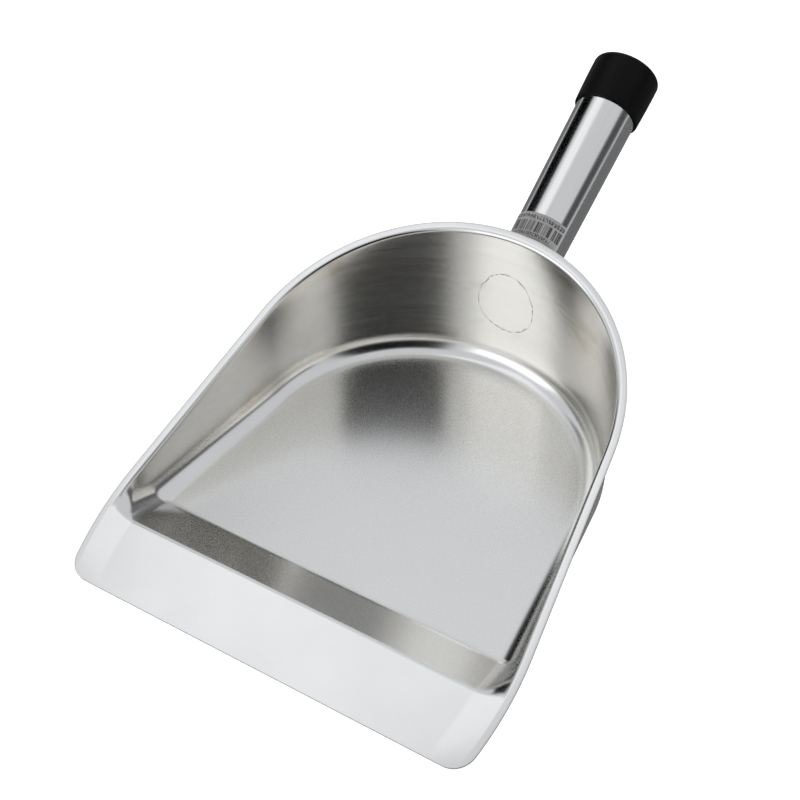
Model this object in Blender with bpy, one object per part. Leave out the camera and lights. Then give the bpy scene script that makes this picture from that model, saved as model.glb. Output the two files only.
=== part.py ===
"""Stainless steel ice scoop: a pressed pan, a tube handle welded to it, an end cap and a label.

Axes: +X across the pan, +Y from the pouring lip towards the handle, +Z up.
The origin lies in the middle of the pan's flat underside, on the table.
Lengths are in metres and angles in degrees.
"""

import math

import bmesh
import bpy
from mathutils import Vector

# ---------------------------------------------------------------------------
# Driving dimensions
# ---------------------------------------------------------------------------

# The pan is one pressed sheet.  Distances from the lip run along +Y.
SHEET = 0.0010
LIP_TO_ORIGIN = 0.130
BACK_RADIUS = 0.0943
BACK_CENTRE_FROM_LIP = 0.1354
FLARE_ANGLE = 6.2
FLARE_LENGTH = 0.0932
SIDE_CURVE_RADIUS = 0.1561
LIP_CORNER_RADIUS = 0.0105

# The rim lies in one sloping plane, from the lip on the table up to the back.
RIM_SLOPE = 0.347
FLANGE_WIDTH = 0.0045
RIM_BEND_RADIUS = 0.0018
WALL_DRAFT = 0.0012
FLOOR_BEND_RADIUS = 0.0110
LEAST_WALL_HEIGHT = 0.0025

# The apron climbs from the lip to a ridge, and a ramp drops from it to the floor.
# The lift keeps the tilted sheet's lower edge, at the lip, from reaching below the floor.
LIP_LIFT = 0.0001
RIDGE_FROM_LIP = 0.0320
RIDGE_HEIGHT = 0.0098
RAMP_FOOT_FROM_LIP = 0.0565
RIDGE_BLEND = 0.0014
RAMP_FOOT_BLEND = 0.0020

# The handle tube leaves the back wall on the pan's centre line and widens towards its end.
TUBE_FOOT_RADIUS = 0.01455
TUBE_END_RADIUS = 0.01655
TUBE_WALL = 0.0010
TUBE_TILT = 27.4
TUBE_FOOT_HEIGHT = 0.0408
TUBE_REACH = 0.1400
FIT_GAP = 0.0003

# A fillet weld runs round the tube's foot.
WELD_LEG = 0.0024

# The end cap is a cup pushed over the tube's free end.
CAP_RADIUS = 0.0182
CAP_MOUTH_RADIUS = 0.0176
CAP_END_THICKNESS = 0.0034
CAP_LENGTH = 0.0278
CAP_EDGE_RADIUS = 0.0030
CAP_MOUTH_ROUNDING = 0.0004

# The paper label is wrapped part of the way round the tube.
LABEL_GAP = 0.00008
LABEL_THICKNESS = 0.00015
LABEL_FROM_WALL = 0.0300
LABEL_HEIGHT = 0.0142
LABEL_START_ANGLE = -186.0
LABEL_END_ANGLE = 58.0

# Facet counts
BACK_STEPS = 20
CORNER_STEPS = 10
RIM_BEND_STEPS = 3
FLOOR_BEND_STEPS = 6
TUBE_STEPS = 48
LABEL_STEPS = 36
CAP_EDGE_STEPS = 5

# ---------------------------------------------------------------------------
# Worked out from the driving dimensions
# ---------------------------------------------------------------------------

FLARE = math.radians(FLARE_ANGLE)
LIP_Y = -LIP_TO_ORIGIN
BACK_CENTRE_Y = LIP_Y + BACK_CENTRE_FROM_LIP
RIDGE_Y = LIP_Y + RIDGE_FROM_LIP
RAMP_FOOT_Y = LIP_Y + RAMP_FOOT_FROM_LIP

# The front side curve continues the straight flare without a corner.
SIDE_CURVE_START_Y = BACK_CENTRE_Y + BACK_RADIUS * math.sin(FLARE) - FLARE_LENGTH * math.cos(FLARE)
SIDE_CURVE_Y = SIDE_CURVE_START_Y - SIDE_CURVE_RADIUS * math.sin(FLARE)
SIDE_CURVE_X = (
    BACK_RADIUS * math.cos(FLARE)
    + FLARE_LENGTH * math.sin(FLARE)
    - SIDE_CURVE_RADIUS * math.cos(FLARE)
)

FLOOR_EDGE_INSET = FLANGE_WIDTH + WALL_DRAFT + FLOOR_BEND_RADIUS

# The pressing runs past the rim's edge, where the trim cuts it.
TRIM_ALLOWANCE = 0.0015
FLANGE_INSETS = (-TRIM_ALLOWANCE, 0.0006)
TRIM_BOTTOM = -0.02
TRIM_TOP = 0.12

TILT = math.radians(TUBE_TILT)
TUBE_AXIS = Vector((0.0, math.cos(TILT), math.sin(TILT)))
TUBE_UP = Vector((0.0, -math.sin(TILT), math.cos(TILT)))
ACROSS = Vector((1.0, 0.0, 0.0))


# ---------------------------------------------------------------------------
# Scene helpers
# ---------------------------------------------------------------------------

def clear_scene():
    """Remove every object that the scene holds."""
    for obj in list(bpy.data.objects):
        bpy.data.objects.remove(obj, do_unlink=True)


def make_material(name, colour, roughness, metallic):
    """Make a plain Principled material."""
    material = bpy.data.materials.new(name)
    material.use_nodes = True
    shader = material.node_tree.nodes["Principled BSDF"]
    shader.inputs["Base Color"].default_value = (*colour, 1.0)
    shader.inputs["Roughness"].default_value = roughness
    shader.inputs["Metallic"].default_value = metallic
    material.diffuse_color = (*colour, 1.0)
    return material


def add_object(name, mesh_builder, material, smooth=True):
    """Turn a finished bmesh into a named object with its material."""
    bmesh.ops.recalc_face_normals(mesh_builder, faces=mesh_builder.faces)
    mesh = bpy.data.meshes.new(name)
    mesh_builder.to_mesh(mesh)
    mesh_builder.free()
    for polygon in mesh.polygons:
        polygon.use_smooth = smooth
    if material is not None:
        mesh.materials.append(material)
    obj = bpy.data.objects.new(name, mesh)
    bpy.context.scene.collection.objects.link(obj)
    return obj


def bridge_rings(builder, rings, closed=True):
    """Join rings of vertices in order; a closed stack also joins the last ring to the first."""
    stack = rings + [rings[0]] if closed else rings
    for near, far in zip(stack, stack[1:]):
        for index in range(len(near)):
            following = (index + 1) % len(near)
            builder.faces.new((near[index], near[following], far[following], far[index]))


# ---------------------------------------------------------------------------
# Pan
# ---------------------------------------------------------------------------

def side_x(y, inset):
    """Half width of the pan's side at y, on a line inset from the rim's edge."""
    curve_radius = SIDE_CURVE_RADIUS - inset
    if y < SIDE_CURVE_Y + curve_radius * math.sin(FLARE):
        reach = y - SIDE_CURVE_Y
        return SIDE_CURVE_X + math.sqrt(curve_radius ** 2 - reach ** 2)
    back_radius = BACK_RADIUS - inset
    joint_y = BACK_CENTRE_Y + back_radius * math.sin(FLARE)
    return back_radius * math.cos(FLARE) + (joint_y - y) * math.tan(FLARE)


def rim_height(y):
    """Height of the rim plane's upper face."""
    return SHEET + LIP_LIFT + RIM_SLOPE * (y - LIP_Y)


def blend_corner(y, corner_y, half_width, slope_change):
    """Height that rounding adds where the profile's slope changes at a corner."""
    reach = abs(y - corner_y)
    if reach >= half_width:
        return 0.0
    return slope_change * (half_width - reach) ** 2 / (4.0 * half_width)


def floor_height(y):
    """Height of the apron, the ramp and the floor along the pan's middle."""
    apron_slope = (RIDGE_HEIGHT - LIP_LIFT) / RIDGE_FROM_LIP
    ramp_slope = -RIDGE_HEIGHT / (RAMP_FOOT_Y - RIDGE_Y)
    if y < RIDGE_Y:
        height = LIP_LIFT + apron_slope * (y - LIP_Y)
    elif y < RAMP_FOOT_Y:
        height = RIDGE_HEIGHT + ramp_slope * (y - RIDGE_Y)
    else:
        height = 0.0
    height += blend_corner(y, RIDGE_Y, RIDGE_BLEND, ramp_slope - apron_slope)
    height += blend_corner(y, RAMP_FOOT_Y, RAMP_FOOT_BLEND, -ramp_slope)
    return SHEET + height


def wall_angle(height):
    """Steepness of a wall whose two bends and straight part fill the wall's width in plan."""
    bends = RIM_BEND_RADIUS + FLOOR_BEND_RADIUS
    gentle, steep = 0.0, math.radians(89.5)
    for _ in range(40):
        angle = (gentle + steep) / 2.0
        straight_run = bends + WALL_DRAFT - bends * math.sin(angle)
        rise = bends * (1.0 - math.cos(angle)) + straight_run * math.tan(angle)
        if rise < height:
            gentle = angle
        else:
            steep = angle
    return gentle


def wall_rows(height):
    """Rows of the wall's section: inset from the rim's edge, drop below the rim plane and
    rise above the floor.  Either the drop or the rise is None in each row.  Below the least
    wall height, beside the apron, the section keeps its width and flattens."""
    angle = wall_angle(max(height, LEAST_WALL_HEIGHT))
    flatten = min(1.0, height / LEAST_WALL_HEIGHT)
    rows = [(inset, 0.0, None) for inset in FLANGE_INSETS]
    for step in range(RIM_BEND_STEPS + 1):
        turn = angle * step / RIM_BEND_STEPS
        inset = FLANGE_WIDTH - RIM_BEND_RADIUS * (1.0 - math.sin(turn))
        rows.append((inset, RIM_BEND_RADIUS * (1.0 - math.cos(turn)) * flatten, None))
    for step in range(FLOOR_BEND_STEPS, -1, -1):
        turn = angle * step / FLOOR_BEND_STEPS
        inset = FLOOR_EDGE_INSET - FLOOR_BEND_RADIUS * math.sin(turn)
        rows.append((inset, None, FLOOR_BEND_RADIUS * (1.0 - math.cos(turn)) * flatten))
    return rows


def pan_point(x, y, drop, rise):
    """Point of the pan's upper face, below the rim plane or above the floor."""
    if rise is None:
        return Vector((x, y, rim_height(y) - drop))
    return Vector((x, y, floor_height(y) + rise))


def back_station(angle):
    """Section of the rounded back, at an angle from +X about the back's centre."""
    rim_y = BACK_CENTRE_Y + BACK_RADIUS * math.sin(angle)
    points = []
    for inset, drop, rise in wall_rows(rim_height(rim_y) - floor_height(rim_y)):
        radius = BACK_RADIUS - inset
        x = radius * math.cos(angle)
        y = BACK_CENTRE_Y + radius * math.sin(angle)
        points.append(pan_point(x, y, drop, rise))
    return points


def side_station(y):
    """Section of the right-hand side, on a line of constant y."""
    rows = wall_rows(rim_height(y) - floor_height(y))
    return [pan_point(side_x(y, inset), y, drop, rise) for inset, drop, rise in rows]


def spread(start, end, count):
    """Evenly spaced values from start to end, without the end itself."""
    return [start + (end - start) * index / count for index in range(count)]


def side_levels():
    """Values of y where the side sections stand, from the back to beyond the lip."""
    levels = spread(BACK_CENTRE_Y - 0.004, RAMP_FOOT_Y + RAMP_FOOT_BLEND, 6)
    levels += spread(RAMP_FOOT_Y + RAMP_FOOT_BLEND, RAMP_FOOT_Y - RAMP_FOOT_BLEND, 4)
    levels += spread(RAMP_FOOT_Y - RAMP_FOOT_BLEND, RIDGE_Y + RIDGE_BLEND, 4)
    levels += spread(RIDGE_Y + RIDGE_BLEND, RIDGE_Y - RIDGE_BLEND, 4)
    levels += spread(RIDGE_Y - RIDGE_BLEND, LIP_Y - TRIM_ALLOWANCE, 6)
    levels.append(LIP_Y - TRIM_ALLOWANCE)
    return levels


def rim_outline():
    """Plan outline of the trimmed sheet, anticlockwise from the lip's right corner."""
    corner_y = LIP_Y + LIP_CORNER_RADIUS
    to_corner = SIDE_CURVE_RADIUS - LIP_CORNER_RADIUS
    corner_x = SIDE_CURVE_X + math.sqrt(to_corner ** 2 - (corner_y - SIDE_CURVE_Y) ** 2)
    meeting_angle = math.atan2(corner_y - SIDE_CURVE_Y, corner_x - SIDE_CURVE_X)
    half = []
    for angle in spread(-math.pi / 2.0, meeting_angle, CORNER_STEPS):
        half.append((corner_x + LIP_CORNER_RADIUS * math.cos(angle),
                     corner_y + LIP_CORNER_RADIUS * math.sin(angle)))
    for angle in spread(meeting_angle, FLARE, CORNER_STEPS):
        half.append((SIDE_CURVE_X + SIDE_CURVE_RADIUS * math.cos(angle),
                     SIDE_CURVE_Y + SIDE_CURVE_RADIUS * math.sin(angle)))
    half.append((side_x(SIDE_CURVE_START_Y, 0.0), SIDE_CURVE_START_Y))
    for angle in spread(FLARE, math.pi / 2.0, BACK_STEPS * 2):
        half.append((BACK_RADIUS * math.cos(angle), BACK_CENTRE_Y + BACK_RADIUS * math.sin(angle)))
    middle = [(0.0, BACK_CENTRE_Y + BACK_RADIUS)]
    return half + middle + [(-x, y) for x, y in reversed(half)]


def build_trim_cutter():
    """Upright prism with the sheet's plan outline, which trims the pressing."""
    builder = bmesh.new()
    low = [builder.verts.new((x, y, TRIM_BOTTOM)) for x, y in rim_outline()]
    high = [builder.verts.new((x, y, TRIM_TOP)) for x, y in rim_outline()]
    builder.faces.new(low)
    builder.faces.new(high)
    bridge_rings(builder, [low, high], closed=False)
    cutter = add_object("rim_trim_cutter", builder, None, smooth=False)
    cutter.hide_render = True
    cutter.display_type = "WIRE"
    return cutter


def build_pan(material, cutter):
    """Pressed sheet: flange, walls, floor, ramp and apron, trimmed to its outline."""
    right = [back_station(angle) for angle in spread(math.pi / 2.0, FLARE, BACK_STEPS)][1:]
    right.append(back_station(FLARE))
    right += [side_station(y) for y in side_levels()]
    middle = back_station(math.pi / 2.0)
    left = [[Vector((-p.x, p.y, p.z)) for p in station] for station in right]
    stations = list(reversed(left)) + [middle] + right

    builder = bmesh.new()
    grid = [[builder.verts.new(point) for point in station] for station in stations]
    for near, far in zip(grid, grid[1:]):
        for row in range(len(middle) - 1):
            builder.faces.new((near[row], far[row], far[row + 1], near[row + 1]))

    # Planar strips join the two sides in front of the back's centre, and one face fills the back.
    strips = len(side_levels())
    for index in range(strips - 1):
        builder.faces.new((grid[index][-1], grid[index + 1][-1],
                           grid[-2 - index][-1], grid[-1 - index][-1]))
    builder.faces.new([station[-1] for station in grid[strips - 1:len(grid) - strips + 1]])

    pan = add_object("scoop_pan", builder, material)
    if pan.data.polygons[-1].normal.z < 0.0:
        pan.data.flip_normals()
    thickness = pan.modifiers.new("sheet_thickness", "SOLIDIFY")
    thickness.thickness = SHEET
    thickness.offset = -1.0
    thickness.use_even_offset = True
    trim = pan.modifiers.new("rim_trim", "BOOLEAN")
    trim.operation = "INTERSECT"
    trim.solver = "EXACT"
    trim.object = cutter
    return pan


# ---------------------------------------------------------------------------
# Handle
# ---------------------------------------------------------------------------

def wall_back_radius(z):
    """Radius of the back wall's outer face, about the back's centre, at height z."""
    top = rim_height(BACK_CENTRE_Y + BACK_RADIUS) - RIM_BEND_RADIUS
    bottom = SHEET + FLOOR_BEND_RADIUS
    share = (top - z) / (top - bottom)
    return BACK_RADIUS - FLANGE_WIDTH - WALL_DRAFT * share + SHEET


def tube_foot():
    """Point where the tube's axis meets the back wall's outer face."""
    return Vector((0.0, BACK_CENTRE_Y + wall_back_radius(TUBE_FOOT_HEIGHT), TUBE_FOOT_HEIGHT))


def tube_radius(along):
    """Radius of the tube's outer face at a distance along its axis."""
    return TUBE_FOOT_RADIUS + (TUBE_END_RADIUS - TUBE_FOOT_RADIUS) * along / TUBE_REACH


def around_tube(radius, angle, along):
    """Point at a radius and an angle from the tube's top, at a distance along its axis."""
    outward = ACROSS * math.sin(angle) + TUBE_UP * math.cos(angle)
    return tube_foot() + outward * radius + TUBE_AXIS * along


def wall_along(radius, angle):
    """Distance along the tube's axis at which a line beside the axis meets the back wall."""
    near, far = -0.05, 0.05
    for _ in range(40):
        middle = (near + far) / 2.0
        point = around_tube(radius, angle, middle)
        from_centre = math.hypot(point.x, point.y - BACK_CENTRE_Y)
        if from_centre < wall_back_radius(point.z):
            near = middle
        else:
            far = middle
    return far


def tube_ring(builder, radius, along):
    """Ring of vertices square to the tube's axis."""
    angles = spread(0.0, 2.0 * math.pi, TUBE_STEPS)
    return [builder.verts.new(around_tube(radius, angle, along)) for angle in angles]


def foot_ring(builder, offset, clearance):
    """Ring at an offset from the tube's outer face, which follows the back wall's curve
    at a clearance from it."""
    ring = []
    for angle in spread(0.0, 2.0 * math.pi, TUBE_STEPS):
        along = wall_along(TUBE_FOOT_RADIUS + offset, angle) + clearance
        ring.append(builder.verts.new(around_tube(tube_radius(along) + offset, angle, along)))
    return ring


def build_tube(material):
    """Open tube, coped to the back wall at its foot and cut square at its free end."""
    builder = bmesh.new()
    bridge_rings(builder, [
        foot_ring(builder, 0.0, FIT_GAP),
        tube_ring(builder, TUBE_END_RADIUS, TUBE_REACH),
        tube_ring(builder, TUBE_END_RADIUS - TUBE_WALL, TUBE_REACH),
        foot_ring(builder, -TUBE_WALL, FIT_GAP),
    ])
    return add_object("handle_tube", builder, material)


def build_weld(material):
    """Fillet weld between the tube's foot and the back wall, with a slightly full face."""
    section = [(0.0, 0.0), (1.0, 0.0), (0.95, 0.30), (0.62, 0.66), (0.24, 0.96), (0.0, 1.0)]
    builder = bmesh.new()
    bridge_rings(builder, [
        foot_ring(builder, FIT_GAP + WELD_LEG * across, FIT_GAP + WELD_LEG * up)
        for across, up in section
    ])
    return add_object("handle_weld", builder, material)


def build_cap(material):
    """Cup that closes the tube's free end, with rounded outer edges."""
    end = TUBE_REACH + FIT_GAP + CAP_END_THICKNESS
    mouth = end - CAP_LENGTH
    section = [(tube_radius(mouth) + FIT_GAP, mouth)]
    for step in range(3):
        turn = math.radians(90.0) * step / 2
        section.append((CAP_MOUTH_RADIUS - CAP_MOUTH_ROUNDING * (1.0 - math.sin(turn)),
                        mouth + CAP_MOUTH_ROUNDING * (1.0 - math.cos(turn))))
    for step in range(CAP_EDGE_STEPS + 1):
        turn = math.radians(90.0) * step / CAP_EDGE_STEPS
        section.append((CAP_RADIUS - CAP_EDGE_RADIUS * (1.0 - math.cos(turn)),
                        end - CAP_EDGE_RADIUS * (1.0 - math.sin(turn))))

    builder = bmesh.new()
    rings = [tube_ring(builder, radius, along) for radius, along in section]
    inner_end = tube_ring(builder, TUBE_END_RADIUS + FIT_GAP, TUBE_REACH + FIT_GAP)
    bridge_rings(builder, [inner_end] + rings, closed=False)
    builder.faces.new(inner_end)
    builder.faces.new(rings[-1])
    return add_object("end_cap", builder, material)


def build_label(material):
    """Thin paper strip wrapped part of the way round the tube."""
    faces = (LABEL_GAP, LABEL_GAP + LABEL_THICKNESS)
    low = LABEL_FROM_WALL
    high = LABEL_FROM_WALL + LABEL_HEIGHT
    corners = [(tube_radius(low) + offset, low) for offset in faces]
    corners += [(tube_radius(high) + offset, high) for offset in reversed(faces)]
    first = math.radians(LABEL_START_ANGLE)
    last = math.radians(LABEL_END_ANGLE)
    builder = bmesh.new()
    sections = []
    for angle in spread(first, last, LABEL_STEPS) + [last]:
        sections.append([builder.verts.new(around_tube(r, angle, along)) for r, along in corners])
    bridge_rings(builder, sections, closed=False)
    builder.faces.new(sections[0])
    builder.faces.new(sections[-1])
    return add_object("price_label", builder, material)


def main():
    clear_scene()
    steel = make_material("pressed_steel", (0.62, 0.62, 0.61), 0.28, 1.0)
    tube_steel = make_material("tube_steel", (0.66, 0.66, 0.66), 0.14, 1.0)
    weld_steel = make_material("weld_steel", (0.48, 0.46, 0.43), 0.42, 1.0)
    black_plastic = make_material("black_plastic", (0.012, 0.012, 0.013), 0.45, 0.0)
    paper = make_material("label_paper", (0.78, 0.78, 0.77), 0.60, 0.0)

    build_pan(steel, build_trim_cutter())
    build_tube(tube_steel)
    build_weld(weld_steel)
    build_cap(black_plastic)
    build_label(paper)


main()
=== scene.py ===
"""Ice scoop: finished pieces, materials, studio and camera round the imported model.

World axes are the part's own: +X across the pan, +Y from the lip to the handle, +Z up.
Lengths are in metres.  The shape's dimensions repeat those of part.py.
"""
import math

import bmesh
import bpy
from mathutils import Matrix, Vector


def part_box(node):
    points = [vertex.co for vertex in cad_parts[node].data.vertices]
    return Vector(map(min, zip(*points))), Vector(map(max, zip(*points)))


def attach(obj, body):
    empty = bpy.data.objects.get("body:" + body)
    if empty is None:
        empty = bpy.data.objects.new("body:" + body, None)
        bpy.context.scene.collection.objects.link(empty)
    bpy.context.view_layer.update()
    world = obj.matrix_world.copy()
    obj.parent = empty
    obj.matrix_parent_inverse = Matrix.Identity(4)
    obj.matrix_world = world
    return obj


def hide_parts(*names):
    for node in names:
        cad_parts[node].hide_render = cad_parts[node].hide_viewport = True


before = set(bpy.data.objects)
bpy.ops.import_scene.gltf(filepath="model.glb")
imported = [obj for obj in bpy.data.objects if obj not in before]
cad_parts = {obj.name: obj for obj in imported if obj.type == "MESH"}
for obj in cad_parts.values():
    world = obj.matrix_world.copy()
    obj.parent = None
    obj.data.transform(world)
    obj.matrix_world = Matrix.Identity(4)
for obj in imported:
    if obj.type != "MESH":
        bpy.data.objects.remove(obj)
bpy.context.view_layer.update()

# ---------------------------------------------------------------------------
# The pan's dimensions
# ---------------------------------------------------------------------------

LIP_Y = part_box("scoop_pan")[0].y
SHEET = 0.0010
BACK_RADIUS = 0.0943
BACK_CENTRE_Y = LIP_Y + 0.1354
FLARE = math.radians(6.2)
FLARE_LENGTH = 0.0932
SIDE_CURVE_RADIUS = 0.1561
LIP_CORNER_RADIUS = 0.0105

RIM_SLOPE = 0.347
FLANGE_WIDTH = 0.0045
RIM_BEND_RADIUS = 0.0018
WALL_DRAFT = 0.0012
FLOOR_BEND_RADIUS = 0.0110
FLOOR_EDGE_INSET = FLANGE_WIDTH + WALL_DRAFT + FLOOR_BEND_RADIUS
LEAST_WALL_HEIGHT = 0.0025

LIP_LIFT = 0.0001
RIDGE_Y = LIP_Y + 0.0320
RIDGE_HEIGHT = 0.0098
RAMP_FOOT_Y = LIP_Y + 0.0565
RIDGE_BLEND = 0.0014
RAMP_FOOT_BLEND = 0.0020
SHEET_EDGE_ROUNDING = 0.00018

SIDE_CURVE_START_Y = BACK_CENTRE_Y + BACK_RADIUS * math.sin(FLARE) - FLARE_LENGTH * math.cos(FLARE)
SIDE_CURVE_Y = SIDE_CURVE_START_Y - SIDE_CURVE_RADIUS * math.sin(FLARE)
SIDE_CURVE_X = (
    BACK_RADIUS * math.cos(FLARE)
    + FLARE_LENGTH * math.sin(FLARE)
    - SIDE_CURVE_RADIUS * math.cos(FLARE)
)

# ---------------------------------------------------------------------------
# The handle's dimensions
# ---------------------------------------------------------------------------

TUBE_FOOT_RADIUS = 0.01455
TUBE_END_RADIUS = 0.01655
TUBE_WALL = 0.0010
TUBE_BROKEN_EDGE = 0.0002
TUBE_LEVELS = (0.0200, 0.0290, 0.0450, 0.0700, 0.0950, 0.1200)
TILT = math.radians(27.4)
TUBE_FOOT_HEIGHT = 0.0408
TUBE_REACH = 0.1400
FIT_GAP = 0.0003
WELD_LEG = 0.0024
WELD_RIPPLE_DEPTH = 0.07
CAP_RADIUS = 0.0182
CAP_MOUTH_RADIUS = 0.0176
CAP_END_THICKNESS = 0.0034
CAP_LENGTH = 0.0278
CAP_EDGE_RADIUS = 0.0030
CAP_MOUTH_ROUNDING = 0.0004
CAP_GRIP_GAP = 0.00008
LABEL_GAP = 0.00008
LABEL_THICKNESS = 0.00015
LABEL_FROM_WALL = 0.0300
LABEL_HEIGHT = 0.0142
LABEL_START = math.radians(-186.0)
LABEL_END = math.radians(58.0)

TUBE_AXIS = Vector((0.0, math.cos(TILT), math.sin(TILT)))
TUBE_UP = Vector((0.0, -math.sin(TILT), math.cos(TILT)))
ACROSS = Vector((1.0, 0.0, 0.0))
QUARTER_TURN = math.pi / 2.0
FULL_TURN = math.pi * 2.0
HALVINGS = 40
WALL_SEARCH_REACH = 0.05


# ---------------------------------------------------------------------------
# Mesh helpers
# ---------------------------------------------------------------------------

def spread(start, end, count):
    """Evenly spaced values from start to end, both included."""
    return [start + (end - start) * index / count for index in range(count + 1)]


def add_piece(name, builder, node, material):
    """Turn a finished bmesh into a smooth piece that stands for a CAD node."""
    bmesh.ops.recalc_face_normals(builder, faces=builder.faces)
    mesh = bpy.data.meshes.new(name)
    builder.to_mesh(mesh)
    builder.free()
    for polygon in mesh.polygons:
        polygon.use_smooth = True
    mesh.materials.append(material)
    piece = bpy.data.objects.new(name, mesh)
    bpy.context.scene.collection.objects.link(piece)
    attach(piece, "root")
    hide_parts(node)
    return piece


def bridge_rings(builder, rings):
    """Join closed rings of vertices in order, and return the faces as rows."""
    rows = []
    for near, far in zip(rings, rings[1:]):
        row = []
        for index in range(len(near)):
            following = (index + 1) % len(near)
            row.append(builder.faces.new(
                (near[index], near[following], far[following], far[index])))
        rows.append(row)
    return rows


# ---------------------------------------------------------------------------
# Pan
# ---------------------------------------------------------------------------

BACK_STEPS = 64
RIM_BEND_STEPS = 8
WALL_STEPS = 8
FLOOR_BEND_STEPS = 18
FLOOR_STEPS = 14
CORNER_STEPS = 18
FLANGE_STEPS = 3
FLARE_JOINT_STEPS = 6
BACK_LEG_STEPS = 36
BLEND_STEPS = 12
RAMP_STEPS = 20
APRON_STEPS = 24
STEEPEST_WALL = math.radians(89.5)
MIRROR_MERGE = 0.00001
EDGE_ROUNDING_STEPS = 3
SHARP_EDGE = math.radians(60.0)


def side_x(y, inset):
    """Half width of the pan's side at y, on a line inset from the rim's edge."""
    curve_radius = SIDE_CURVE_RADIUS - inset
    if y < SIDE_CURVE_Y + curve_radius * math.sin(FLARE):
        return SIDE_CURVE_X + math.sqrt(curve_radius ** 2 - (y - SIDE_CURVE_Y) ** 2)
    back_radius = BACK_RADIUS - inset
    joint_y = BACK_CENTRE_Y + back_radius * math.sin(FLARE)
    return back_radius * math.cos(FLARE) + (joint_y - y) * math.tan(FLARE)


def rim_height(y):
    """Height of the rim plane's upper face."""
    return SHEET + LIP_LIFT + RIM_SLOPE * (y - LIP_Y)


def blend_corner(y, corner_y, half_width, slope_change):
    """Height that rounding adds where the profile's slope changes at a corner."""
    reach = abs(y - corner_y)
    if reach >= half_width:
        return 0.0
    return slope_change * (half_width - reach) ** 2 / (4.0 * half_width)


def floor_height(y):
    """Height of the apron, the ramp and the floor along the pan's middle."""
    apron_slope = (RIDGE_HEIGHT - LIP_LIFT) / (RIDGE_Y - LIP_Y)
    ramp_slope = -RIDGE_HEIGHT / (RAMP_FOOT_Y - RIDGE_Y)
    if y < RIDGE_Y:
        height = LIP_LIFT + apron_slope * (y - LIP_Y)
    elif y < RAMP_FOOT_Y:
        height = RIDGE_HEIGHT + ramp_slope * (y - RIDGE_Y)
    else:
        height = 0.0
    height += blend_corner(y, RIDGE_Y, RIDGE_BLEND, ramp_slope - apron_slope)
    height += blend_corner(y, RAMP_FOOT_Y, RAMP_FOOT_BLEND, -ramp_slope)
    return SHEET + height


def wall_angle(height):
    """Steepness of a wall whose two bends and straight part fill the wall's width in plan."""
    bends = RIM_BEND_RADIUS + FLOOR_BEND_RADIUS
    gentle, steep = 0.0, STEEPEST_WALL
    for _ in range(HALVINGS):
        angle = (gentle + steep) / 2.0
        straight_run = bends + WALL_DRAFT - bends * math.sin(angle)
        rise = bends * (1.0 - math.cos(angle)) + straight_run * math.tan(angle)
        if rise < height:
            gentle = angle
        else:
            steep = angle
    return gentle


def pan_section(rim_y, place):
    """Points of the pan's upper face from the rim's edge to the floor's edge.

    place(inset) gives the plan position (x, y) of a line inset from the rim's edge."""
    height = rim_height(rim_y) - floor_height(rim_y)
    angle = wall_angle(max(height, LEAST_WALL_HEIGHT))
    flatten = min(1.0, height / LEAST_WALL_HEIGHT)
    bend_start = FLANGE_WIDTH - RIM_BEND_RADIUS

    upper = []
    for inset in spread(0.0, bend_start, FLANGE_STEPS)[:-1]:
        x, y = place(inset)
        upper.append(Vector((x, y, rim_height(y))))
    for turn in spread(0.0, angle, RIM_BEND_STEPS):
        x, y = place(bend_start + RIM_BEND_RADIUS * math.sin(turn))
        drop = RIM_BEND_RADIUS * (1.0 - math.cos(turn)) * flatten
        upper.append(Vector((x, y, rim_height(y) - drop)))

    lower = []
    for turn in spread(angle, 0.0, FLOOR_BEND_STEPS):
        x, y = place(FLOOR_EDGE_INSET - FLOOR_BEND_RADIUS * math.sin(turn))
        rise = FLOOR_BEND_RADIUS * (1.0 - math.cos(turn)) * flatten
        lower.append(Vector((x, y, floor_height(y) + rise)))

    wall = [upper[-1].lerp(lower[0], share) for share in spread(0.0, 1.0, WALL_STEPS)[1:-1]]
    return upper + wall + lower


def surface_height(inset, y):
    """Height of the upper face beside the apron, at an inset from the untrimmed side."""
    height = rim_height(y) - floor_height(y)
    angle = wall_angle(max(height, LEAST_WALL_HEIGHT))
    flatten = min(1.0, height / LEAST_WALL_HEIGHT)
    bend_start = FLANGE_WIDTH - RIM_BEND_RADIUS
    rim_end = bend_start + RIM_BEND_RADIUS * math.sin(angle)
    floor_start = FLOOR_EDGE_INSET - FLOOR_BEND_RADIUS * math.sin(angle)
    if inset <= bend_start:
        return rim_height(y)
    if inset <= rim_end:
        turn = math.asin((inset - bend_start) / RIM_BEND_RADIUS)
        return rim_height(y) - RIM_BEND_RADIUS * (1.0 - math.cos(turn)) * flatten
    if inset >= FLOOR_EDGE_INSET:
        return floor_height(y)
    if inset >= floor_start:
        turn = math.asin((FLOOR_EDGE_INSET - inset) / FLOOR_BEND_RADIUS)
        return floor_height(y) + FLOOR_BEND_RADIUS * (1.0 - math.cos(turn)) * flatten
    top = rim_height(y) - RIM_BEND_RADIUS * (1.0 - math.cos(angle)) * flatten
    bottom = floor_height(y) + FLOOR_BEND_RADIUS * (1.0 - math.cos(angle)) * flatten
    return top + (bottom - top) * (inset - rim_end) / (floor_start - rim_end)


def lip_corner():
    """Centre of the lip's corner arc and the angle at which it meets the side."""
    corner_y = LIP_Y + LIP_CORNER_RADIUS
    to_corner = SIDE_CURVE_RADIUS - LIP_CORNER_RADIUS
    corner_x = SIDE_CURVE_X + math.sqrt(to_corner ** 2 - (corner_y - SIDE_CURVE_Y) ** 2)
    return corner_x, corner_y, math.atan2(corner_y - SIDE_CURVE_Y, corner_x - SIDE_CURVE_X)


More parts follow.
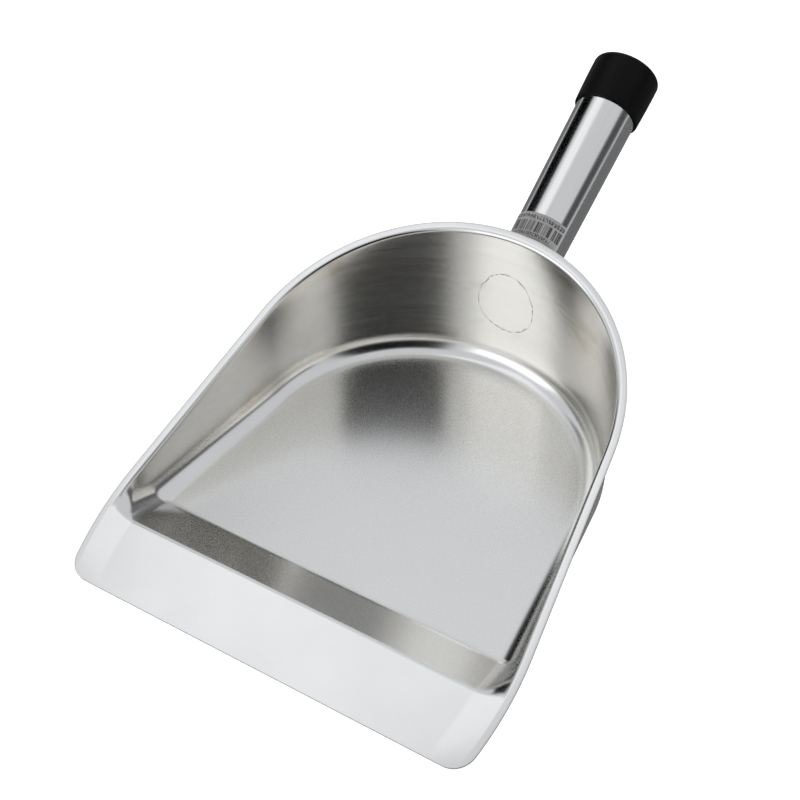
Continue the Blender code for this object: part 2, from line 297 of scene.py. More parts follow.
def corner_section(angle):
    """Section beside the lip's rounded corner, where the outline cuts the side's flange off."""
    corner_x, corner_y, _ = lip_corner()
    y = corner_y + LIP_CORNER_RADIUS * math.sin(angle)
    edge_x = corner_x + LIP_CORNER_RADIUS * math.cos(angle)
    floor_x = side_x(y, FLOOR_EDGE_INSET)
    points = []
    for point in pan_section(y, lambda inset: (side_x(y, inset), y)):
        plain_inset = SIDE_CURVE_RADIUS - math.hypot(point.x - SIDE_CURVE_X, y - SIDE_CURVE_Y)
        share = plain_inset / FLOOR_EDGE_INSET
        x = edge_x + (floor_x - edge_x) * share
        inset = SIDE_CURVE_RADIUS - math.hypot(x - SIDE_CURVE_X, y - SIDE_CURVE_Y)
        points.append(Vector((x, y, surface_height(inset, y))))
    return points


def side_levels():
    """Values of y of the straight sections, from the back's centre to the lip's corner."""
    _, corner_y, meeting = lip_corner()
    corner_top = corner_y + LIP_CORNER_RADIUS * math.sin(meeting)
    legs = [
        (BACK_CENTRE_Y, RAMP_FOOT_Y + RAMP_FOOT_BLEND, BACK_LEG_STEPS),
        (RAMP_FOOT_Y + RAMP_FOOT_BLEND, RAMP_FOOT_Y - RAMP_FOOT_BLEND, BLEND_STEPS),
        (RAMP_FOOT_Y - RAMP_FOOT_BLEND, RIDGE_Y + RIDGE_BLEND, RAMP_STEPS),
        (RIDGE_Y + RIDGE_BLEND, RIDGE_Y - RIDGE_BLEND, BLEND_STEPS),
        (RIDGE_Y - RIDGE_BLEND, corner_top, APRON_STEPS),
    ]
    levels = [BACK_CENTRE_Y]
    for start, end, count in legs:
        levels += spread(start, end, count)[1:]
    return levels


def back_sections():
    """Sections of the rounded back's right half, fanned about the back's centre."""
    sections = []
    for angle in spread(QUARTER_TURN, FLARE, BACK_STEPS):
        def place(inset, angle=angle):
            radius = BACK_RADIUS - inset
            return radius * math.cos(angle), BACK_CENTRE_Y + radius * math.sin(angle)
        sections.append(pan_section(place(0.0)[1], place))
    for share in spread(1.0, 0.0, FLARE_JOINT_STEPS)[1:-1]:
        def place(inset, share=share):
            y = BACK_CENTRE_Y + (BACK_RADIUS - inset) * math.sin(FLARE) * share
            return side_x(y, inset), y
        sections.append(pan_section(place(0.0)[1], place))
    return sections


def front_sections():
    """Straight sections from the back's centre to the lip, with the lip's corner last."""
    sections = []
    for y in side_levels():
        sections.append(pan_section(y, lambda inset, y=y: (side_x(y, inset), y)))
    _, _, meeting = lip_corner()
    for angle in spread(meeting, -QUARTER_TURN, CORNER_STEPS)[1:]:
        sections.append(corner_section(angle))
    return sections


def build_pan(material, edge_material):
    """The pressed sheet, as one dense half that is mirrored, thickened and eased at its edge."""
    builder = bmesh.new()
    shares = spread(0.0, 1.0, FLOOR_STEPS)[1:]
    pole = builder.verts.new((0.0, BACK_CENTRE_Y, floor_height(BACK_CENTRE_Y)))

    grid = []
    for section in back_sections():
        line = [builder.verts.new(point) for point in section]
        line += [builder.verts.new(section[-1].lerp(pole.co, share)) for share in shares[:-1]]
        grid.append(line + [pole])
    for section in front_sections():
        line = [builder.verts.new(point) for point in section]
        middle = Vector((0.0, section[-1].y, section[-1].z))
        line += [builder.verts.new(section[-1].lerp(middle, share)) for share in shares]
        if section[-1].y == BACK_CENTRE_Y:
            builder.verts.remove(line.pop())
            line.append(pole)
        grid.append(line)

    for near, far in zip(grid, grid[1:]):
        for row in range(len(near) - 1):
            corners = [near[row], far[row], far[row + 1], near[row + 1]]
            if corners[2] is corners[3]:
                corners.pop()
            builder.faces.new(corners)

    whole = list(builder.verts) + list(builder.edges) + list(builder.faces)
    bmesh.ops.mirror(builder, geom=whole, axis="X", merge_dist=MIRROR_MERGE)
    pan = add_piece("pressed_pan", builder, "scoop_pan", material)
    middle_face = max(pan.data.polygons, key=lambda face: face.area)
    if middle_face.normal.z < 0.0:
        pan.data.flip_normals()

    thickness = pan.modifiers.new("sheet_thickness", "SOLIDIFY")
    thickness.thickness = SHEET
    thickness.offset = -1.0
    thickness.use_even_offset = True
    thickness.material_offset_rim = 1
    pan.data.materials.append(edge_material)
    easing = pan.modifiers.new("eased_sheet_edge", "BEVEL")
    easing.width = SHEET_EDGE_ROUNDING
    easing.segments = EDGE_ROUNDING_STEPS
    easing.limit_method = "ANGLE"
    easing.angle_limit = SHARP_EDGE
    return pan


# ---------------------------------------------------------------------------
# Handle: tube, weld, cap and label
# ---------------------------------------------------------------------------

TUBE_STEPS = 144
WELD_RIPPLES = 72
STEPS_PER_RIPPLE = 6
LABEL_STEPS = 110


def wall_back_radius(z):
    """Radius of the back wall's outer face, about the back's centre, at height z."""
    top = rim_height(BACK_CENTRE_Y + BACK_RADIUS) - RIM_BEND_RADIUS
    bottom = SHEET + FLOOR_BEND_RADIUS
    return BACK_RADIUS - FLANGE_WIDTH - WALL_DRAFT * (top - z) / (top - bottom) + SHEET


TUBE_FOOT = Vector((0.0, BACK_CENTRE_Y + wall_back_radius(TUBE_FOOT_HEIGHT), TUBE_FOOT_HEIGHT))


def tube_radius(along):
    """Radius of the tube's outer face at a distance along its axis."""
    return TUBE_FOOT_RADIUS + (TUBE_END_RADIUS - TUBE_FOOT_RADIUS) * along / TUBE_REACH


def around_tube(radius, angle, along):
    """Point at a radius and an angle from the tube's top, at a distance along its axis."""
    outward = ACROSS * math.sin(angle) + TUBE_UP * math.cos(angle)
    return TUBE_FOOT + outward * radius + TUBE_AXIS * along


def wall_along(radius, angle):
    """Distance along the tube's axis at which a line beside the axis meets the back wall."""
    near, far = -WALL_SEARCH_REACH, WALL_SEARCH_REACH
    for _ in range(HALVINGS):
        middle = (near + far) / 2.0
        point = around_tube(radius, angle, middle)
        if math.hypot(point.x, point.y - BACK_CENTRE_Y) < wall_back_radius(point.z):
            near = middle
        else:
            far = middle
    return far


def tube_ring(builder, radius, along):
    """Ring of vertices square to the tube's axis."""
    return [builder.verts.new(around_tube(radius, angle, along))
            for angle in spread(0.0, FULL_TURN, TUBE_STEPS)[:-1]]


def foot_point(angle, offset, clearance):
    """Point at an offset from the tube's outer face and a clearance from the back wall."""
    along = wall_along(TUBE_FOOT_RADIUS + offset, angle) + clearance
    return around_tube(tube_radius(along) + offset, angle, along)


def foot_ring(builder, offset, clearance):
    """Ring of vertices that follows the back wall's curve at a clearance from it."""
    return [builder.verts.new(foot_point(angle, offset, clearance))
            for angle in spread(0.0, FULL_TURN, TUBE_STEPS)[:-1]]


def arc(centre, radius, start, end, steps):
    """Points of an arc in the (radius, along) plane of a turned section."""
    return [(centre[0] + radius * math.cos(turn), centre[1] + radius * math.sin(turn))
            for turn in spread(start, end, steps)]


def build_tube(material):
    """Open tapered tube, coped to the back wall, with its free end's edges broken."""
    builder = bmesh.new()
    edge = TUBE_BROKEN_EDGE
    bore_end = TUBE_END_RADIUS - TUBE_WALL
    rings = [foot_ring(builder, 0.0, FIT_GAP)]
    for along in TUBE_LEVELS:
        rings.append(tube_ring(builder, tube_radius(along), along))
    rings.append(tube_ring(builder, TUBE_END_RADIUS, TUBE_REACH - edge))
    rings.append(tube_ring(builder, TUBE_END_RADIUS - edge, TUBE_REACH))
    rings.append(tube_ring(builder, bore_end + edge, TUBE_REACH))
    rings.append(tube_ring(builder, bore_end, TUBE_REACH - edge))
    rings.append(foot_ring(builder, -TUBE_WALL, FIT_GAP))
    bridge_rings(builder, rings + [rings[0]])
    return add_piece("polished_tube", builder, "handle_tube", material)


def build_weld(material):
    """Fillet weld with the small overlapping ripples that a welder's torch leaves."""
    builder = bmesh.new()
    profile = [(0.0, 0.0), (1.0, 0.0), (0.97, 0.14), (0.90, 0.30), (0.76, 0.50),
               (0.58, 0.68), (0.36, 0.86), (0.16, 0.97), (0.0, 1.0)]
    rings = []
    for across, up in profile:
        ring = []
        for index in range(WELD_RIPPLES * STEPS_PER_RIPPLE):
            angle = FULL_TURN * index / (WELD_RIPPLES * STEPS_PER_RIPPLE)
            phase = (index % STEPS_PER_RIPPLE) / STEPS_PER_RIPPLE
            ripple = 1.0 - WELD_RIPPLE_DEPTH * phase * (1.0 if 0.0 < across < 1.0 else 0.0)
            ring.append(builder.verts.new(foot_point(
                angle, FIT_GAP + WELD_LEG * across * ripple, FIT_GAP + WELD_LEG * up * ripple)))
        rings.append(ring)
    bridge_rings(builder, rings + [rings[0]])
    return add_piece("ripple_weld", builder, "handle_weld", material)


def build_cap(material):
    """Moulded cup with a soft mouth, a slightly swelled wall and a rounded end."""
    end = TUBE_REACH + FIT_GAP + CAP_END_THICKNESS
    mouth = end - CAP_LENGTH
    lip = CAP_MOUTH_ROUNDING
    grip = tube_radius(mouth) + CAP_GRIP_GAP
    section = [(TUBE_END_RADIUS + FIT_GAP, TUBE_REACH + FIT_GAP),
               (tube_radius(mouth) + FIT_GAP, mouth + 3.0 * lip), (grip, mouth + lip)]
    section += arc((grip + lip, mouth + lip), lip, math.pi, 1.5 * math.pi, 4)[1:]
    section += arc((CAP_MOUTH_RADIUS - lip, mouth + lip), lip, 1.5 * math.pi, FULL_TURN, 5)
    wall_end = end - CAP_EDGE_RADIUS
    for share in (0.2, 0.4, 0.6, 0.8):
        swell = 1.0 - (1.0 - share) ** 2
        section.append((CAP_MOUTH_RADIUS + (CAP_RADIUS - CAP_MOUTH_RADIUS) * swell,
                        mouth + lip + (wall_end - mouth - lip) * share))
    section += arc((CAP_RADIUS - CAP_EDGE_RADIUS, wall_end), CAP_EDGE_RADIUS, 0.0, QUARTER_TURN, 14)
    section += [(CAP_RADIUS * share, end) for share in (0.6, 0.4, 0.2)]

    builder = bmesh.new()
    rings = [tube_ring(builder, radius, along) for radius, along in section]
    bridge_rings(builder, rings)
    for ring, along in ((rings[0], TUBE_REACH + FIT_GAP), (rings[-1], end)):
        centre = builder.verts.new(TUBE_FOOT + TUBE_AXIS * along)
        for index, vertex in enumerate(ring):
            builder.faces.new((vertex, ring[(index + 1) % len(ring)], centre))
    return add_piece("moulded_cap", builder, "end_cap", material)


def build_label(material):
    """Paper strip wrapped round the tube.  Its map runs 0 to 1 across the printed face."""
    builder = bmesh.new()
    print_map = builder.loops.layers.uv.new("print")
    levels = spread(LABEL_FROM_WALL, LABEL_FROM_WALL + LABEL_HEIGHT, 8)
    loop = [(LABEL_GAP, along) for along in levels]
    loop += [(LABEL_GAP + LABEL_THICKNESS, along) for along in reversed(levels)]
    sections = []
    for angle in spread(LABEL_START, LABEL_END, LABEL_STEPS):
        sections.append([builder.verts.new(around_tube(tube_radius(along) + offset, angle, along))
                         for offset, along in loop])
    rows = bridge_rings(builder, sections)
    builder.faces.new(sections[0])
    builder.faces.new(sections[-1])
    for index, row in enumerate(rows):
        near = set(sections[index])
        for face in row:
            for corner in face.loops:
                step = index if corner.vert in near else index + 1
                along = (corner.vert.co - TUBE_FOOT).dot(TUBE_AXIS)
                corner[print_map].uv = (step / LABEL_STEPS,
                                        (along - LABEL_FROM_WALL) / LABEL_HEIGHT)
    return add_piece("paper_label", builder, "price_label", material)


# ---------------------------------------------------------------------------
# Material helpers
# ---------------------------------------------------------------------------

class Look:
    """One node material being put together.  Sockets passed as inputs are linked."""

    def __init__(self, name, metallic, roughness, colour):
        self.material = bpy.data.materials.new(name)
        self.material.use_nodes = True
        self.tree = self.material.node_tree
        self.shader = self.tree.nodes["Principled BSDF"]
        self.shader.inputs["Metallic"].default_value = metallic
        self.shader.inputs["Roughness"].default_value = roughness
        self.shader.inputs["Base Color"].default_value = (*colour, 1.0)

    def feed(self, socket, value):
        if isinstance(value, bpy.types.NodeSocket):
            self.tree.links.new(value, socket)
        else:
            socket.default_value = value

    def node(self, kind, *values, **settings):
        made = self.tree.nodes.new(kind)
        for key, setting in settings.items():
            setattr(made, key, setting)
        for socket, value in zip(made.inputs, values):
            if value is not None:
                self.feed(socket, value)
        return made

    def math(self, operation, *values):
        return self.node("ShaderNodeMath", *values, operation=operation).outputs[0]

    def vector(self, operation, *values, result="Vector"):
        return self.node("ShaderNodeVectorMath", *values, operation=operation).outputs[result]

    def place(self):
        """Where the point is on the object, in metres."""
        return self.node("ShaderNodeTexCoord").outputs["Object"]

    def noise(self, where, scale, detail=2.0, stretch=None):
        """Noise from 0 to 1.  Scale is in features per metre, and stretch multiplies it by axis."""
        if stretch:
            where = self.vector("MULTIPLY", where, stretch)
        made = self.node("ShaderNodeTexNoise")
        self.feed(made.inputs["Vector"], where)
        made.inputs["Scale"].default_value = scale
        made.inputs["Detail"].default_value = detail
        return made.outputs[0]

    def between(self, value, low, high, start=0.0, end=1.0, smooth=True):
        """Value carried from low..high to start..end, and held at the ends."""
        made = self.node("ShaderNodeMapRange", value, low, high, start, end)
        made.interpolation_type = "SMOOTHSTEP" if smooth else "LINEAR"
        return made.outputs[0]

    def blend(self, amount, first, second):
        """Colour going from first to second as amount goes from 0 to 1."""
        made = self.node("ShaderNodeMix", data_type="RGBA")
        for socket, value in (("Factor_Float", amount), ("A_Color", first), ("B_Color", second)):
            target = next(item for item in made.inputs if item.identifier == socket)
            self.feed(target, value if not isinstance(value, tuple) else (*value, 1.0))
        return next(item for item in made.outputs if item.identifier == "Result_Color")

    def raise_by(self, height, depth, strength=1.0):
        """Bump the surface by a 0 to 1 height over a depth in metres."""
        made = self.node("ShaderNodeBump")
        made.inputs["Strength"].default_value = strength
        made.inputs["Distance"].default_value = depth
        self.feed(made.inputs["Height"], height)
        self.feed(self.shader.inputs["Normal"], made.outputs["Normal"])

    def finish(self, **values):
        for name, value in values.items():
            self.feed(self.shader.inputs[name.replace("_", " ").title()], value)
        return self.material


def along_tube(look):
    """Object coordinates turned so that Y runs along the tube's axis."""
    turned = look.node("ShaderNodeVectorRotate", rotation_type="X_AXIS")
    look.feed(turned.inputs["Vector"], look.place())
    turned.inputs["Angle"].default_value = -TILT
    return turned.outputs["Vector"]


# ---------------------------------------------------------------------------
# Materials
# ---------------------------------------------------------------------------

RING_RADIUS = 0.0152
RING_WIDTH = 0.00030
STEEL = (0.640, 0.652, 0.665)
WORN_STEEL = (0.615, 0.626, 0.637)
# Painted light: the flat floor and the steep walls get lighter steel than the rest of the sheet, by
# which way they face.
PAINTED_LIGHT_FLOOR_STEEL = (0.745, 0.757, 0.768)
PAINTED_LIGHT_WALL_STEEL = (0.735, 0.717, 0.672)
STAINED_STEEL = (0.560, 0.505, 0.420)
RING_GREY = (0.20, 0.185, 0.165)
SHEARED_STEEL = (0.120, 0.120, 0.122)
SHEARED_STEEL_PALE = (0.230, 0.230, 0.232)
WELD_GREY = (0.52, 0.50, 0.47)
WELD_STRAW = (0.46, 0.37, 0.24)
WELD_BLUE = (0.23, 0.25, 0.32)
CAP_BLACK = (0.0022, 0.0022, 0.0026)
CAP_DUST = (0.014, 0.014, 0.014)
PAPER = (0.37, 0.37, 0.368)
SOILED_PAPER = (0.31, 0.31, 0.307)
INK = (0.022, 0.022, 0.024)
FLOOR_PALE = (0.92, 0.92, 0.92)
FLOOR_PALE_WORN = (0.90, 0.90, 0.90)
WHITE = (1.0, 1.0, 1.0, 1.0)
BLACK = (0.0, 0.0, 0.0)

# Plain colours, for a viewer that can't show the noise.
WELD_PLAIN = (0.50, 0.48, 0.45)
PAPER_PLAIN = (0.52, 0.52, 0.52)

# How deep the bumps go, in metres.
SHEET_GRAIN = 0.0000028
EDGE_BURR = 0.0000060
TUBE_HAIRLINES = 0.0000006
WELD_GRIT = 0.00002
CAP_GRAIN = 0.000018
PAPER_FIBRE = 0.00001


def ring_mark(look, where):
    """Mask of the faint ring that the weld leaves on the inside of the back wall."""
    from_foot = look.vector("SUBTRACT", where, tuple(TUBE_FOOT))
    off_axis = look.vector("CROSS_PRODUCT", from_foot, tuple(TUBE_AXIS))
    radius = look.vector("LENGTH", off_axis, result="Value")
    wobble = look.between(look.noise(where, 260.0, 2.0), 0.3, 0.7, -RING_WIDTH, RING_WIDTH)
    off_ring = look.math("ADD", look.math("SUBTRACT", radius, RING_RADIUS), wobble)
    miss = look.math("ABSOLUTE", off_ring)
    line = look.between(miss, RING_WIDTH * 0.3, RING_WIDTH * 1.7, 1.0, 0.0)
    broken = look.between(look.noise(where, 520.0, 3.0), 0.40, 0.62, 0.15, 1.0)
    depth = look.node("ShaderNodeSeparateXYZ", where).outputs["Y"]
    near_wall = look.between(depth, TUBE_FOOT.y - 0.030, TUBE_FOOT.y - 0.025)
    return look.math("MULTIPLY", look.math("MULTIPLY", line, broken), near_wall)


def pressed_steel():
    """Satin sheet, duller on the flat floor, with draw lines and stains on the walls. Painted light
    makes the flat floor lighter, and the steep walls lighter and warmer.
    """
    look = Look("satin_pressed_steel", 1.0, 0.20, STEEL)
    where = look.place()
    normal = look.node("ShaderNodeNewGeometry").outputs["Normal"]
    facing = look.math("ABSOLUTE", look.node("ShaderNodeSeparateXYZ", normal).outputs["Z"])
    wall = look.between(facing, 0.15, 0.75, 1.0, 0.0)
    flat = look.between(facing, 0.970, 0.9995)

    grain = look.noise(where, 2600.0, 3.0)
    draw_lines = look.noise(where, 1.0, 4.0, stretch=(13.0, 13.0, 520.0))
    cloud = look.noise(where, 26.0, 4.0)
    stain = look.between(look.noise(where, 1.0, 3.0, stretch=(30.0, 30.0, 60.0)), 0.56, 0.74)

    colour = look.blend(look.between(cloud, 0.35, 0.70), STEEL, WORN_STEEL)
    # Painted light: the flat floor, which faces up, is coloured lighter steel.
    colour = look.blend(look.math("MULTIPLY", flat, 0.75), colour, PAINTED_LIGHT_FLOOR_STEEL)
    # Painted light: the steep walls are coloured lighter and warmer steel.
    colour = look.blend(wall, colour, PAINTED_LIGHT_WALL_STEEL)
    stained = look.math("MULTIPLY", look.math("MULTIPLY", stain, wall), 0.55)
    colour = look.blend(stained, colour, STAINED_STEEL)
    colour = look.blend(look.math("MULTIPLY", ring_mark(look, where), 0.85), colour, RING_GREY)

    rough = look.between(cloud, 0.3, 0.7, 0.185, 0.195)
    rough = look.math("ADD", rough, look.math("MULTIPLY", flat, 0.075))
    rough = look.math("ADD", rough, look.math("MULTIPLY", wall, 0.010))
    rough = look.math("ADD", rough, look.between(grain, 0.3, 0.7, -0.015, 0.015))
    lines = look.math("MULTIPLY", look.between(draw_lines, 0.35, 0.65, -0.02, 0.03), wall)
    rough = look.math("ADD", rough, lines)

    streaks = look.math("MULTIPLY", look.math("MULTIPLY", draw_lines, wall), 4.0)
    look.raise_by(look.math("ADD", grain, streaks), SHEET_GRAIN, 0.6)
    return look.finish(base_color=colour, roughness=rough)


def sheared_edge_steel():
    """The sheet's cut edge, duller and darker than its faces."""
    look = Look("sheared_edge_steel", 1.0, 0.45, SHEARED_STEEL)
    where = look.place()
    burr = look.noise(where, 1400.0, 3.0)
    colour = look.blend(look.between(burr, 0.35, 0.65), SHEARED_STEEL, SHEARED_STEEL_PALE)
    rough = look.between(look.noise(where, 300.0, 2.0), 0.3, 0.7, 0.38, 0.52)
    look.raise_by(burr, EDGE_BURR, 0.6)
    return look.finish(base_color=colour, roughness=rough)


def tube_steel():
    """Polished tube with hairlines along it."""
    look = Look("polished_tube_steel", 1.0, 0.12, STEEL)
    where = along_tube(look)
    hairline = look.noise(where, 1.0, 3.0, stretch=(3200.0, 45.0, 3200.0))
    brushed = look.noise(where, 1.0, 4.0, stretch=(900.0, 6.0, 900.0))
    smear = look.noise(where, 60.0, 3.0)
    colour = look.blend(look.between(brushed, 0.3, 0.75), STEEL, WORN_STEEL)
    rough = look.math("ADD", look.between(brushed, 0.3, 0.7, 0.13, 0.15),
                      look.between(smear, 0.4, 0.75, 0.0, 0.02))
    rough = look.math("ADD", rough, look.between(hairline, 0.35, 0.65, -0.01, 0.015))
    look.raise_by(look.math("ADD", hairline, brushed), TUBE_HAIRLINES, 0.6)
    return look.finish(base_color=colour, roughness=rough)


def weld_steel():
    """Grey bead with the straw and blue colours that the heat leaves."""
    look = Look("weld_bead_steel", 1.0, 0.36, WELD_PLAIN)
    where = look.place()
    heat = look.noise(where, 230.0, 3.0)
    colour = look.blend(look.between(heat, 0.35, 0.55), WELD_GREY, WELD_STRAW)
    colour = look.blend(look.between(heat, 0.56, 0.70), colour, WELD_BLUE)
    grit = look.noise(where, 3200.0, 4.0)
    rough = look.between(grit, 0.3, 0.7, 0.28, 0.46)
    look.raise_by(grit, WELD_GRIT, 0.8)
    return look.finish(base_color=colour, roughness=rough)


def black_plastic():
    """Soft dull plastic with a fine grain, some dust and rubbed patches."""
    look = Look("black_cap_plastic", 0.0, 0.42, CAP_BLACK)
    look.shader.inputs["Specular IOR Level"].default_value = 0.09
    where = along_tube(look)
    grain = look.noise(where, 2200.0, 4.0)
    dust = look.between(look.noise(where, 420.0, 5.0), 0.62, 0.80)
    rub = look.noise(where, 1.0, 3.0, stretch=(160.0, 40.0, 160.0))
    colour = look.blend(look.math("MULTIPLY", dust, 0.3), CAP_BLACK, CAP_DUST)
    rough = look.math("ADD", look.between(rub, 0.35, 0.70, 0.36, 0.48),
                      look.between(grain, 0.3, 0.7, -0.03, 0.03))
    look.raise_by(grain, CAP_GRAIN, 0.6)
    return look.finish(base_color=colour, roughness=rough)


def printed_paper():
    """Paper with plain printed dashes and bars, which spell and count nothing."""
    look = Look("printed_label_paper", 0.0, 0.55, PAPER_PLAIN)
    print_map = look.node("ShaderNodeUVMap", uv_map="print").outputs[0]
    split = look.node("ShaderNodeSeparateXYZ", print_map)
    across, up = split.outputs["X"], split.outputs["Y"]

    def row(low, high):
        return look.math("MULTIPLY", look.math("GREATER_THAN", up, low),
                         look.math("LESS_THAN", up, high))

    def specks(columns, rows, share, seed):
        """Cells of a fine grid, of which a share is inked at random."""
        column = look.math("FLOOR", look.math("MULTIPLY", across, columns))
        level = look.math("FLOOR", look.math("MULTIPLY", up, rows))
        cell = look.node("ShaderNodeCombineXYZ", column, level, seed).outputs[0]
        chance = look.node("ShaderNodeTexWhiteNoise", noise_dimensions="3D")
        look.feed(chance.inputs["Vector"], cell)
        return look.math("LESS_THAN", chance.outputs["Value"], share)

    def broken_columns(columns, share, seed):
        """Columns of uneven darkness, of which a share is inked."""
        cell = look.math("FLOOR", look.math("MULTIPLY", across, columns))
        chance = look.node("ShaderNodeTexWhiteNoise", noise_dimensions="1D")
        look.feed(chance.inputs["W"], look.math("ADD", cell, seed))
        return look.math("LESS_THAN", chance.outputs["Value"], share)

    def words(seed, spacing):
        """Even blocks of random specks, with gaps, in place of letters."""
        beat = look.math("FRACT", look.math("MULTIPLY", across, spacing))
        letters = look.math("MULTIPLY", specks(spacing * 5.0, 22.0, 0.66, seed),
                            look.math("LESS_THAN", beat, 0.82))
        return look.math("MULTIPLY", letters, broken_columns(spacing / 4.0, 0.93, seed + 400.0))

    headline = look.math("MULTIPLY", row(0.74, 0.91), words(11.0, 38.0))
    bars = look.math("MULTIPLY", row(0.26, 0.68), broken_columns(250.0, 0.58, 37.0))
    groups = look.math("MULTIPLY", bars, broken_columns(7.0, 0.85, 93.0))
    footer = look.math("MULTIPLY", row(0.09, 0.22), words(73.0, 52.0))
    ink = look.math("MAXIMUM", headline, look.math("MAXIMUM", groups, footer))

    where = look.place()
    fibre = look.noise(where, 2400.0, 4.0)
    soil = look.noise(where, 90.0, 3.0)
    paper = look.blend(look.between(soil, 0.35, 0.75), PAPER, SOILED_PAPER)
    inked = look.math("MULTIPLY", ink, look.between(fibre, 0.25, 0.6, 0.75, 0.95))
    look.raise_by(fibre, PAPER_FIBRE, 0.6)
    return look.finish(base_color=look.blend(inked, paper, INK),
                       roughness=look.between(fibre, 0.3, 0.7, 0.50, 0.66))


def pale_floor_paint():
    """Pale floor that glows a little, so that it stays evenly white."""
    look = Look("pale_floor", 0.0, 0.9, FLOOR_PALE)
    where = look.place()
    tone = look.noise(where, 3.0, 2.0)
    look.shader.inputs["Emission Color"].default_value = WHITE
    look.shader.inputs["Emission Strength"].default_value = FLOOR_GLOW
    return look.finish(base_color=look.blend(tone, FLOOR_PALE, FLOOR_PALE_WORN))


def emitting(name, level):
    """A look whose shader is replaced by plain white light."""
    look = Look(name, 0.0, 1.0, BLACK)
    glow = look.node("ShaderNodeEmission", WHITE, level)
    look.tree.nodes.remove(look.shader)
    return look, glow, look.tree.nodes["Material Output"].inputs["Surface"]


def soft_edged_glow(name, level, softness):
    """Even light that fades out at the card's edges.

    softness is the fading width as a share of the card's (width, height)."""
    look, glow, surface = emitting(name, level)
    card_map = look.node("ShaderNodeUVMap", uv_map="card").outputs[0]
    split = look.node("ShaderNodeSeparateXYZ", card_map)
    cover = None
    for place, share in zip((split.outputs["X"], split.outputs["Y"]), softness):
        to_edge = look.math("MINIMUM", place, look.math("SUBTRACT", 1.0, place))
        fade = look.between(to_edge, 0.0, share)
        cover = fade if cover is None else look.math("MULTIPLY", cover, fade)
    clear = look.node("ShaderNodeBsdfTransparent")
    mixed = look.node("ShaderNodeMixShader", cover, clear.outputs[0], glow.outputs[0])
    look.tree.links.new(mixed.outputs[0], surface)
    return look.material


def plain_glow(name, level):
    look, glow, surface = emitting(name, level)
    look.tree.links.new(glow.outputs[0], surface)
    return look.material


# ---------------------------------------------------------------------------
# Stage and camera
# ---------------------------------------------------------------------------

FLOOR_REACH = 6.0
FLOOR_DROP = 0.0002
FLOOR_GLOW = 0.70
TABLE_GREY = 0.2
TABLE_REACH = 5.0
WORLD_LEVEL = 0.85
STUDIO_CENTRE = Vector((0.0, 0.03, 0.05))
STUDIO_RADIUS = 2.2
PANEL_SPACING = 0.02
PANEL_STEPS = 10

# A plain studio: pale surroundings, two large softboxes, and the darker parts of the room.
# The back wall mirrors the dark camera side as a band, and the tube the others as stripes.
# Name, then the compass span, the height span and the strength.  Angles are in degrees:
# the compass runs from +Y towards +X, and the height from the horizon up.
PANELS = (
    ("overhead_softbox", (-130, -50), (50, 88), 1.3),
    ("key_softbox", (-180, -115), (10, 50), 1.8),
    ("dark_camera_side", (95, 175), (10, 65), 0.0),
    ("dark_left_side", (-90, -42), (0, 50), 0.0),
    ("dark_room_end", (-10, 90), (0, 35), 0.1),
)
PANEL_SOFT_EDGE = 10.0

CAMERA_AZIMUTH = math.radians(31.01)
CAMERA_ELEVATION = math.radians(43.37)
CAMERA_DISTANCE = 0.6256
CAMERA_TARGET = Vector((0.0, -0.0093, 0.0578))
CAMERA_LENS_MM = 63.07
SENSOR_MM = 36.0


def add_stage(name, points, faces, material):
    mesh = bpy.data.meshes.new(name)
    mesh.from_pydata(points, [], faces)
    mesh.materials.append(material)
    made = bpy.data.objects.new(name, mesh)
    bpy.context.scene.collection.objects.link(made)
    return made


def hide_card(card):
    """The steel mirrors the card, but the camera looks through it.

    It casts no shadow and doesn't light dull surfaces."""
    card.visible_camera = False
    card.visible_shadow = False
    card.visible_diffuse = False


def add_level_square(name, reach, height, material):
    points = [(reach * x, reach * y, height) for x, y in ((-1, -1), (1, -1), (1, 1), (-1, 1))]
    return add_stage(name, points, [(0, 1, 2, 3)], material)


def build_floor():
    add_level_square("pale_floor", FLOOR_REACH, -FLOOR_DROP, pale_floor_paint())


def build_table_card():
    """What the steel sees of the table round it, which is greyer than the paper it lies on."""
    material = plain_glow("table_card", TABLE_GREY)
    hide_card(add_level_square("table_card", TABLE_REACH, -FLOOR_DROP / 2.0, material))


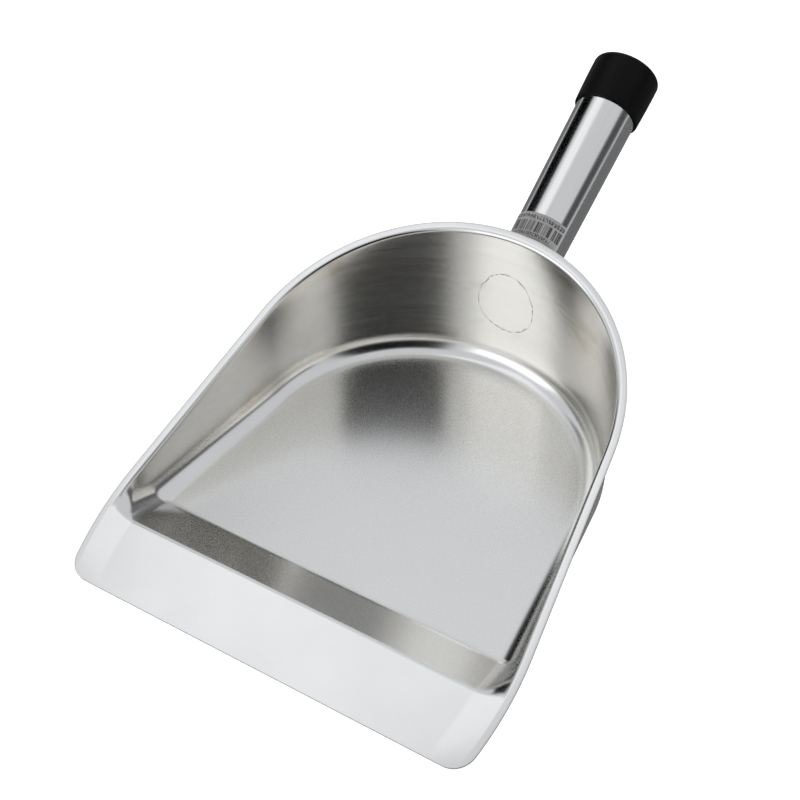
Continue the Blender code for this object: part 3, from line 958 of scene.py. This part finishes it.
def build_panel(order, name, compass, height, level):
    """One softbox or dark card: a curved card on a sphere round the scoop.

    Later panels hang in front of earlier ones."""
    radius = STUDIO_RADIUS - PANEL_SPACING * order
    rows = spread(math.radians(height[0]), math.radians(height[1]), PANEL_STEPS)
    columns = spread(math.radians(compass[0]), math.radians(compass[1]), PANEL_STEPS)
    points = [
        STUDIO_CENTRE + radius * Vector((
            math.sin(turn) * math.cos(lift),
            math.cos(turn) * math.cos(lift),
            math.sin(lift),
        ))
        for lift in rows for turn in columns
    ]
    across = len(columns)
    faces = [
        (row * across + column, row * across + column + 1,
         (row + 1) * across + column + 1, (row + 1) * across + column)
        for row in range(PANEL_STEPS) for column in range(PANEL_STEPS)
    ]
    softness = [PANEL_SOFT_EDGE / (end - start) for start, end in (compass, height)]
    card = add_stage(name, points, faces, soft_edged_glow(name, level, softness))
    card_map = card.data.uv_layers.new(name="card")
    for loop, spot in zip(card.data.loops, card_map.data):
        row, column = divmod(loop.vertex_index, across)
        spot.uv = (column / PANEL_STEPS, row / PANEL_STEPS)
    hide_card(card)


def light_world():
    """Even white surroundings."""
    world = bpy.data.worlds.new("studio_white")
    world.use_nodes = True
    background = world.node_tree.nodes["Background"]
    background.inputs["Color"].default_value = WHITE
    background.inputs["Strength"].default_value = WORLD_LEVEL
    bpy.context.scene.world = world
    bpy.context.scene.view_settings.view_transform = "Standard"


def add_camera():
    back = Vector((
        math.sin(CAMERA_AZIMUTH) * math.cos(CAMERA_ELEVATION),
        -math.cos(CAMERA_AZIMUTH) * math.cos(CAMERA_ELEVATION),
        math.sin(CAMERA_ELEVATION),
    ))
    data = bpy.data.cameras.new("photo_camera")
    data.lens = CAMERA_LENS_MM
    data.sensor_width = SENSOR_MM
    camera = bpy.data.objects.new("photo_camera", data)
    camera.location = CAMERA_TARGET + back * CAMERA_DISTANCE
    camera.rotation_euler = (-back).to_track_quat("-Z", "Y").to_euler()
    bpy.context.scene.collection.objects.link(camera)
    bpy.context.scene.camera = camera


def main():
    build_pan(pressed_steel(), sheared_edge_steel())
    build_tube(tube_steel())
    build_weld(weld_steel())
    build_cap(black_plastic())
    build_label(printed_paper())
    build_floor()
    build_table_card()
    for order, panel in enumerate(PANELS):
        build_panel(order, *panel)
    light_world()
    add_camera()


main()
